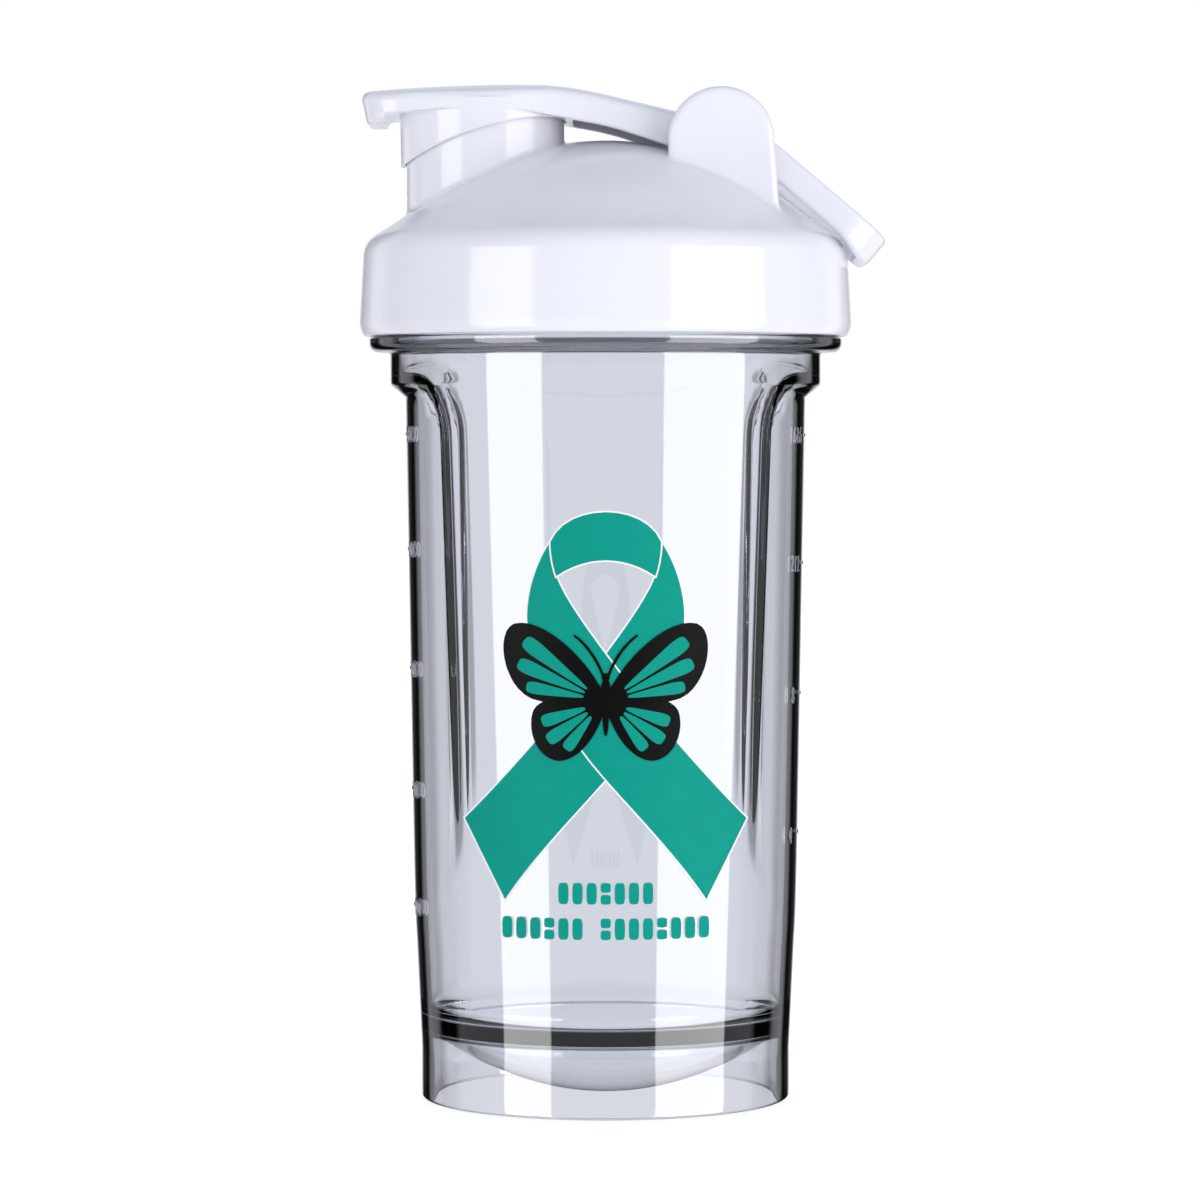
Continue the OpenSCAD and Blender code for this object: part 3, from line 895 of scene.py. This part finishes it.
def make_decal():
    """The print, layer on layer: the ribbon with its pale edges, the butterfly and the caption marks."""
    white = print_ink("print_white", (0.9, 0.92, 0.92), 0.03)
    teal = print_ink("print_teal", (0.004, 0.31, 0.235), 0.05)
    black = print_ink("print_black", (0.003, 0.003, 0.003), 0.3)
    front, over = ribbon_shapes()
    back = mirror_x(front)
    upper, lower, cells = wing_shapes()
    feeler = curve_through(
        ((0.2, 86.2), (1.4, 89.6), (3.4, 92.4), (5.9, 94.2)),
        ((5.9, 94.2), (6.2, 94.3), (6.3, 93.9), (6.0, 93.7)),
        ((6.0, 93.7), (3.8, 92), (2, 89.4), (0.65, 86.0)))
    dark = [upper, lower, feeler]
    body = [oval(0, 79.6, 0.66, 5.0), oval(0, 83.6, 0.95, 2.2), oval(0, 86.0, 0.8, 0.8)]
    rim, first_lift = 0.3, 0.05
    layers = [
        ("print_back_tail", [back], [], teal), ("print_back_tail_edge", [], [(back, rim)], white),
        ("print_front_tail", [front], [], teal), ("print_front_tail_edge", [], [(front, rim)], white),
        ("print_band", [over], [], teal), ("print_band_edge", [], [(over, rim)], white),
        ("print_wings", dark + [mirror_x(shape) for shape in dark], [], black),
        ("print_wing_cells", cells + [mirror_x(shape) for shape in cells], [], teal),
        ("print_body", body, [], black),
        ("print_caption_marks", caption_marks(), [], teal),
    ]
    for k, (name, outlines, rims, material) in enumerate(layers):
        make_print(name, outlines, rims, first_lift + LAYER_STEP * k, material)


def make_scale(material):
    """Raised numbers and bars in both grip zones: ounces by the hinge, millilitres by the spout."""
    ounces = [("16", 132.4), ("12", 107), ("8", 81), ("4", 53.2)]
    millilitres = [("500", 132.6), ("400", 109.8), ("300", 86), ("200", 62), ("100", 38.6)]
    sides = [("scale_ounces", 0, -13.5, ounces), ("scale_millilitres", math.pi, 4.5, millilitres)]
    for name, facing, start, marks in sides:
        sheet = bmesh.new()
        for label, z in marks:
            add_mark(sheet, label, z, facing, start)
        mesh = bpy.data.meshes.new(name)
        sheet.to_mesh(mesh)
        sheet.free()
        piece = new_object(name, mesh, material, smooth=False)
        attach(piece, "cup")


def add_mark(sheet, label, z, facing, start):
    """One number with its bar, bent round the grip wall and standing proud of it."""
    size, half_deep, drop, stand = 4.6, 0.12, 1.6, 0.14
    bar_long, bar_wide = 5, 0.6
    words = bpy.data.curves.new("scale_words", "FONT")
    words.body = label
    words.size = size
    words.extrude = half_deep
    words.resolution_u = 3
    holder = bpy.data.objects.new("scale_words", words)
    mesh = bpy.data.meshes.new_from_object(holder)
    part = bmesh.new()
    part.from_mesh(mesh)
    for vertex in part.verts:
        vertex.co = (vertex.co.x + start, vertex.co.y - drop, vertex.co.z)
    bar = bmesh.ops.create_cube(part, size=1.0)["verts"]
    for vertex in bar:
        vertex.co = (vertex.co.x * bar_long, vertex.co.y * bar_wide, vertex.co.z * 2 * half_deep)
    for vertex in part.verts:
        across, up, out = vertex.co
        wall = grip_floor_r(z + up)
        angle = facing + across / wall
        radius = wall + out + stand
        vertex.co = (radius * math.cos(angle) * MM, radius * math.sin(angle) * MM, (z + up) * MM)
    copy = bpy.data.meshes.new("scale_part")
    part.to_mesh(copy)
    part.free()
    sheet.from_mesh(copy)
    for block in (copy, mesh):
        bpy.data.meshes.remove(block)
    bpy.data.objects.remove(holder)
    bpy.data.curves.remove(words)


# ---------------------------------------------------------------- stage, light and camera

def make_stage():
    """A pale floor that only the camera sees, so that it neither lights the bottle nor mirrors in it."""
    material, tree, shader = node_material("pale_floor")
    cloud = noise(tree, 3, 2)
    tone = ramp(tree, cloud.outputs["Fac"], [(0.4, (0.58, 0.58, 0.585)), (0.6, (0.6, 0.6, 0.605))])
    tree.links.new(tone, shader.inputs["Base Color"])
    set_inputs(shader, Roughness=0.6, Emission_Color=(1, 1, 1, 1), Emission_Strength=0.72)
    mesh = bpy.data.meshes.new("floor")
    half = 6.0
    corners = [(-half, -half, 0), (half, -half, 0), (half, half, 0), (-half, half, 0)]
    mesh.from_pydata(corners, [], [(0, 1, 2, 3)])
    floor = new_object("floor", mesh, material, smooth=False)
    for ray in ("visible_glossy", "visible_transmission", "visible_diffuse", "visible_shadow"):
        setattr(floor, ray, False)


def world_math(tree, operation, *values):
    """A math node. Each value is a number or the output of another node."""
    node = tree.nodes.new("ShaderNodeMath")
    node.operation = operation
    for slot, value in zip(node.inputs, values):
        if isinstance(value, (int, float)):
            slot.default_value = value
        else:
            tree.links.new(value, slot)
    return node.outputs["Value"]


def world_window(tree, value, lo, hi, soft):
    """One between lo and hi, zero outside, with soft edges."""
    sides = []
    for start, end in ((lo - soft, lo + soft), (hi + soft, hi - soft)):
        edge = tree.nodes.new("ShaderNodeMapRange")
        edge.interpolation_type = "SMOOTHSTEP"
        edge.inputs["From Min"].default_value = min(start, end)
        edge.inputs["From Max"].default_value = max(start, end)
        edge.inputs["To Min"].default_value = 0 if start < end else 1
        edge.inputs["To Max"].default_value = 1 if start < end else 0
        tree.links.new(value, edge.inputs["Value"])
        sides.append(edge.outputs["Result"])
    return world_math(tree, "MULTIPLY", *sides)


def add_studio(tree):
    """The studio by compass angle and height, in degrees. Compass zero is the camera's side.

    The room is soft grey, cooler and darker towards the ceiling. Soft boxes light the bottle from the
    front and, more weakly, from behind, but they do not shine through the clear cup. Dark flags stand
    behind the bottle, two to each side, and draw the dark lines in the edges of the plastic. They are
    weaker for light that has crossed both walls, so that the cup looks clear from other sides too.
    Light that only ran inside one wall is dark from anywhere, which draws the cup's outline.
    """
    flags, flag_heights, flag_dark, flag_ease = ((104, 126), (144, 166)), (-30, 26), -0.985, 0.45
    front_boxes, box_heights, mirrored = ((-66, -34, 1.6), (31, 79, 2.1)), (-36, 13), 6.2
    back_box, back_power, outline_dark = (120, 160), 1.9, -0.9
    place = tree.nodes.new("ShaderNodeTexCoord")
    split = tree.nodes.new("ShaderNodeSeparateXYZ")
    tree.links.new(place.outputs["Generated"], split.inputs[0])
    x, y, z = split.outputs
    degrees = math.degrees(1)
    compass = world_math(tree, "ARCTAN2", x, world_math(tree, "MULTIPLY", y, -1))
    compass = world_math(tree, "MULTIPLY", compass, degrees)
    height = world_math(tree, "MULTIPLY", world_math(tree, "ARCSINE", z), degrees)
    ray = tree.nodes.new("ShaderNodeLightPath").outputs
    bounced = ray["Is Glossy Ray"]
    outside = world_math(tree, "SUBTRACT", 1, ray["Is Transmission Ray"])
    crossed = world_math(tree, "GREATER_THAN", ray["Transmission Depth"], 3.5)
    in_and_out = world_math(tree, "COMPARE", ray["Transmission Depth"], 2, 0.5)
    mirrored_inside = world_math(tree, "GREATER_THAN", ray["Glossy Depth"], 0.5)
    wall_only = world_math(tree, "MULTIPLY", in_and_out, mirrored_inside)

    level = world_window(tree, height, -90, 40, 30)
    room = world_math(tree, "MULTIPLY_ADD", level, 0.22, 0.58)
    turn = world_math(tree, "ABSOLUTE", compass)
    flag = world_math(tree, "ADD", *[world_window(tree, turn, lo, hi, 4) for lo, hi in flags])
    flag = world_math(tree, "MULTIPLY", flag, world_window(tree, height, *flag_heights, 6))
    flag_power = world_math(tree, "MULTIPLY_ADD", crossed, flag_ease, flag_dark)
    clear = world_math(tree, "MULTIPLY_ADD", flag, flag_power, 1)
    outline = world_math(tree, "MULTIPLY_ADD", wall_only, outline_dark, 1)
    clear = world_math(tree, "MULTIPLY", clear, outline)
    tint = tree.nodes.new("ShaderNodeMix")
    tint.data_type = "RGBA"
    tint.inputs["A"].default_value = (0.77, 0.81, 1, 1)
    tint.inputs["B"].default_value = (0.91, 0.93, 1, 1)
    tree.links.new(level, tint.inputs["Factor"])
    walls = tree.nodes.new("ShaderNodeBackground")
    tree.links.new(world_math(tree, "MULTIPLY", room, clear), walls.inputs["Strength"])
    tree.links.new(tint.outputs["Result"], walls.inputs["Color"])

    boxes = []
    for lo, hi, power in front_boxes:
        strength = world_math(tree, "MULTIPLY_ADD", bounced, mirrored - power, power)
        boxes.append(world_math(tree, "MULTIPLY", world_window(tree, compass, lo, hi, 0.8), strength))
    strength = world_math(tree, "MULTIPLY_ADD", bounced, -back_power, back_power)
    boxes.append(world_math(tree, "MULTIPLY", world_window(tree, turn, *back_box, 2), strength))
    box = world_math(tree, "ADD", world_math(tree, "ADD", boxes[0], boxes[1]), boxes[2])
    box = world_math(tree, "MULTIPLY", box, world_window(tree, height, *box_heights, 2))
    lamps = tree.nodes.new("ShaderNodeBackground")
    tree.links.new(world_math(tree, "MULTIPLY", box, outside), lamps.inputs["Strength"])
    lamps.inputs["Color"].default_value = (1, 1, 1, 1)
    both = tree.nodes.new("ShaderNodeAddShader")
    tree.links.new(walls.outputs["Background"], both.inputs[0])
    tree.links.new(lamps.outputs["Background"], both.inputs[1])
    return both.outputs["Shader"]


def make_world():
    """White where the camera looks straight at it; the studio for what the bottle reflects and bends."""
    world = bpy.data.worlds.new("studio")
    bpy.context.scene.world = world
    world.use_nodes = True
    tree = world.node_tree
    tree.nodes.clear()
    output = tree.nodes.new("ShaderNodeOutputWorld")
    path = tree.nodes.new("ShaderNodeLightPath")
    seen = tree.nodes.new("ShaderNodeBackground")
    seen.inputs["Color"].default_value = (1, 1, 1, 1)
    mix = tree.nodes.new("ShaderNodeMixShader")
    tree.links.new(path.outputs["Is Camera Ray"], mix.inputs["Fac"])
    tree.links.new(add_studio(tree), mix.inputs[1])
    tree.links.new(seen.outputs["Background"], mix.inputs[2])
    tree.links.new(mix.outputs["Shader"], output.inputs["Surface"])


def make_lamp():
    """A large soft lamp above and to the right of the camera, for the top of the lid and the ear."""
    lamp = bpy.data.lights.new("soft_lamp", "AREA")
    lamp.size, lamp.energy, lamp.color = 0.6, 0.75, (0.9, 0.95, 1.0)
    holder = bpy.data.objects.new("soft_lamp", lamp)
    bpy.context.collection.objects.link(holder)
    place, target = Vector((0.45, -0.77, 0.9)), Vector((0, 0, 0.17))
    holder.location = place
    holder.rotation_euler = (target - place).to_track_quat("-Z", "Y").to_euler()
    holder.visible_glossy = False
    holder.visible_transmission = False


def make_camera():
    """Long lens at the height of the cup's shoulder, tipped down a little."""
    camera = bpy.data.cameras.new("camera")
    camera.lens, camera.sensor_width = 143.1, 36
    holder = bpy.data.objects.new("camera", camera)
    bpy.context.collection.objects.link(holder)
    place, target = Vector((-0.0011, -0.954, 0.1334)), Vector((-0.0011, 0, 0.0994))
    holder.location = place
    holder.rotation_euler = (target - place).to_track_quat("-Z", "Y").to_euler()
    bpy.context.scene.camera = holder
    bpy.context.scene.view_settings.view_transform = "Standard"


make_camera()
make_world()
make_lamp()
make_stage()
white = white_plastic()
rubber = soft_rubber()
clear = clear_plastic()
make_cup(clear)
make_lid(white)
make_cap(white)
make_loop(white)
make_seals(rubber)
make_pin(drawn_steel())
make_decal()
make_scale(clear)
